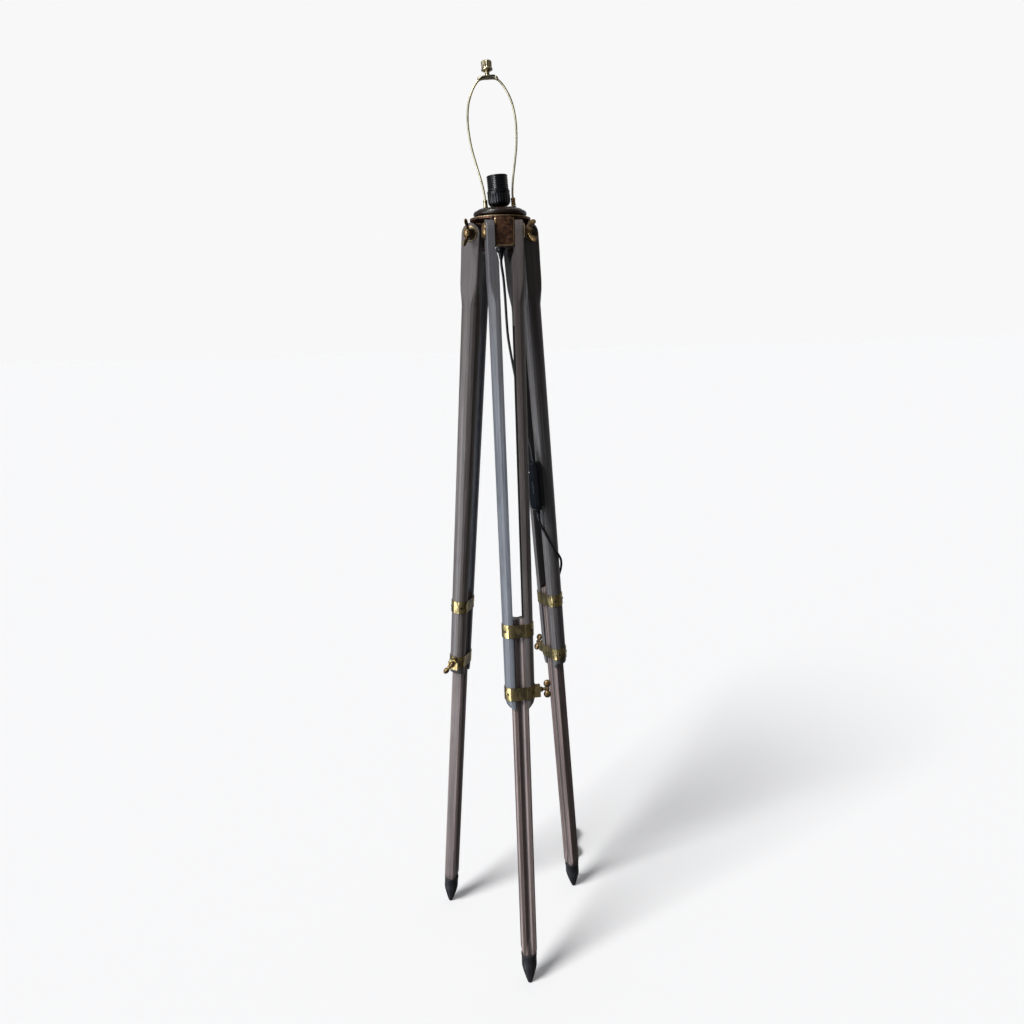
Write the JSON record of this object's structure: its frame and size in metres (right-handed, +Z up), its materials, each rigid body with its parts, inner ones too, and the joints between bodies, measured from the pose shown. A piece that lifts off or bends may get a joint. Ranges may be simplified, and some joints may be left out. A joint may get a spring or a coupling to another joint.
{
  "type": "tripod floor lamp",
  "caption": "Wooden field tripod with telescoping brass-banded legs and a bronze head, fitted as a floor lamp with a socket, wire harp and switched cord.",
  "frame": {"origin": "on the floor, at the middle of the box round the lamp without its cord; the front foot points to -Y", "axes": "+Z up, +X to the right of someone facing the front leg, +Y away from them"},
  "size_m": [0.3593, 0.4721, 1.7751],
  "materials": {
    "wood": "grey-washed hardwood, worn satin",
    "brass": "aged, half polished",
    "bronze": "dark oil-rubbed bronze casting",
    "lacquer": "dark brown gloss lacquer",
    "bakelite": "glossy black moulding",
    "rubber": "matt black",
    "plastic": "satin black moulding",
    "plated_steel": "zinc or nickel plated",
    "lens": "translucent white"
  },
  "bodies": {
    "head": {"head_casting": "bronze", "top_disc": "lacquer", "lamp_pipe": "plated_steel", "pipe_nut": "brass", "cord_gland": "rubber", "harp_saddle": "brass", "socket_base": "bakelite", "socket_shell": "bakelite", "socket_sleeve": "brass", "socket_contact": "brass", "front_pivot_bolt": "bronze", "front_pivot_washer": "brass", "right_pivot_bolt": "bronze", "right_pivot_washer": "brass", "left_pivot_bolt": "bronze", "left_pivot_washer": "brass"},
    "front_leg": {"front_stile_bolt_side": "wood", "front_stile_nut_side": "wood", "front_upper_band": "brass", "front_lower_band": "brass"},
    "front_lower_leg": {"front_sliding_leg": "wood", "front_shoe": "rubber"},
    "front_wing": {"front_wing_nut": "brass"},
    "front_thumb": {"front_thumb_screw": "brass"},
    "right_leg": {"right_stile_bolt_side": "wood", "right_stile_nut_side": "wood", "right_upper_band": "brass", "right_lower_band": "brass", "cord_lead": "rubber", "cord_tail": "rubber", "switch_base": "plastic", "switch_cover": "plastic", "switch_lamp": "lens"},
    "right_lower_leg": {"right_sliding_leg": "wood", "right_shoe": "rubber", "cord_hank": "rubber", "hank_tie": "rubber", "cord_end": "rubber", "plug_body": "rubber", "plug_pin_left": "plated_steel", "plug_pin_right": "plated_steel"},
    "right_wing": {"right_wing_nut": "brass"},
    "right_thumb": {"right_thumb_screw": "brass"},
    "left_leg": {"left_stile_bolt_side": "wood", "left_stile_nut_side": "wood", "left_upper_band": "brass", "left_lower_band": "brass"},
    "left_lower_leg": {"left_sliding_leg": "wood", "left_shoe": "rubber"},
    "left_wing": {"left_wing_nut": "brass"},
    "left_thumb": {"left_thumb_screw": "brass"},
    "harp": {"harp_wire": "brass", "harp_ferrule_left": "brass", "harp_ferrule_right": "brass", "harp_top_plate": "brass"},
    "finial_knob": {"finial": "brass"},
    "button": {"switch_button": "plastic"}
  },
  "joints": [
    {"name": "front_swing", "type": "hinge", "parent": "head", "child": "front_leg", "pos_m": [0, -0.00223, 1.491], "axis": [-1, 0, 0], "range_deg": [-4.5, 20]},
    {"name": "front_extend", "type": "slide", "parent": "front_leg", "child": "front_lower_leg", "axis": [0, 0.0852, 0.9964], "range_m": [0, 0.515]},
    {"name": "front_wing_spin", "type": "hinge", "parent": "head", "child": "front_wing", "pos_m": [0, -0.00223, 1.491], "axis": [1, 0, 0], "continuous": true},
    {"name": "front_clamp_spin", "type": "hinge", "parent": "front_leg", "child": "front_thumb", "pos_m": [0, -0.07546, 0.63513], "axis": [1, 0, 0], "continuous": true},
    {"name": "right_swing", "type": "hinge", "parent": "head", "child": "right_leg", "pos_m": [0.0394, 0.06602, 1.491], "axis": [0.5, -0.866, 0], "range_deg": [-4.5, 20], "deforming": ["cord_lead", "cord_tail"]},
    {"name": "right_extend", "type": "slide", "parent": "right_leg", "child": "right_lower_leg", "axis": [-0.0738, -0.0426, 0.9964], "range_m": [0, 0.515]},
    {"name": "right_wing_spin", "type": "hinge", "parent": "head", "child": "right_wing", "pos_m": [0.0394, 0.06602, 1.491], "axis": [-0.5, 0.866, 0], "continuous": true},
    {"name": "right_clamp_spin", "type": "hinge", "parent": "right_leg", "child": "right_thumb", "pos_m": [0.10282, 0.10263, 0.63513], "axis": [-0.5, 0.866, 0], "continuous": true},
    {"name": "left_swing", "type": "hinge", "parent": "head", "child": "left_leg", "pos_m": [-0.0394, 0.06602, 1.491], "axis": [0.5, 0.866, 0], "range_deg": [-4.5, 20]},
    {"name": "left_extend", "type": "slide", "parent": "left_leg", "child": "left_lower_leg", "axis": [0.0738, -0.0426, 0.9964], "range_m": [0, 0.515]},
    {"name": "left_wing_spin", "type": "hinge", "parent": "head", "child": "left_wing", "pos_m": [-0.0394, 0.06602, 1.491], "axis": [-0.5, -0.866, 0], "continuous": true},
    {"name": "left_clamp_spin", "type": "hinge", "parent": "left_leg", "child": "left_thumb", "pos_m": [-0.10282, 0.10263, 0.63513], "axis": [-0.5, -0.866, 0], "continuous": true},
    {"name": "harp_lift", "type": "slide", "parent": "head", "child": "harp", "axis": [-0.0732, 0, 0.9973], "range_m": [0, 0.012]},
    {"name": "finial_spin", "type": "hinge", "parent": "harp", "child": "finial_knob", "pos_m": [0, 0.04327, 1.5344], "axis": [-0.0732, 0, 0.9973], "continuous": true},
    {"name": "button_press", "type": "slide", "parent": "right_leg", "child": "button", "axis": [0.8629, 0.4982, 0.0852], "range_m": [0, 0.0012], "stiffness_N_per_m": 400}
  ]
}
